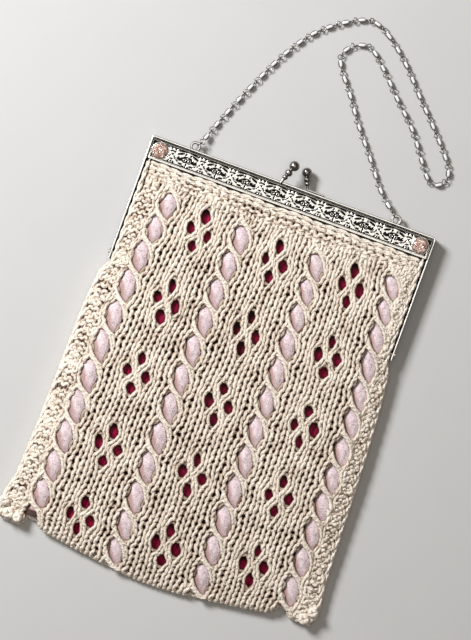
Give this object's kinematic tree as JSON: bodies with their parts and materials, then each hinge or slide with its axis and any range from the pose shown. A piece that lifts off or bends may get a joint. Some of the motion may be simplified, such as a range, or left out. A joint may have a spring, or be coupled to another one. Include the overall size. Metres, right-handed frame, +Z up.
{
  "type": "knitted frame purse",
  "caption": "Knitted evening purse with lace eyelets and pink ribbon insertion on a hinged silver kiss-lock frame, with a glass bead chain, lying on its back.",
  "frame": {"origin": "on the resting surface under the middle of the knitted bag, on the flat underside of its back panel", "axes": "+Z up from the surface through the bag's front, +Y from the bag's foot to the metal frame, +X to the right of the front seen with the frame at the top"},
  "size_m": [0.2136, 0.3847, 0.016],
  "materials": {
    "cotton": "cream cotton yarn, hand knitted",
    "lining": "dark magenta lining cloth",
    "ribbon": "pale pink velvet ribbon",
    "silver": "antiqued silver plate with blackened recesses",
    "stone": "peach pink faceted crystal with a foiled back",
    "bead_glass": "clear glass over a silver core, on silver wire"
  },
  "bodies": {
    "root": {"knit_front": "cotton", "knit_back": "cotton", "lining": "lining", "ribbon_1": "ribbon", "ribbon_2": "ribbon", "ribbon_3": "ribbon", "ribbon_4": "ribbon", "frame_back": "silver", "frame_front": "silver", "hinge_rivet_left": "silver", "hinge_rivet_right": "silver", "corner_stone_left": "stone", "corner_stone_right": "stone", "clasp_ball_left": "silver", "clasp_ball_right": "silver", "chain": "bead_glass"}
  },
  "joints": []
}
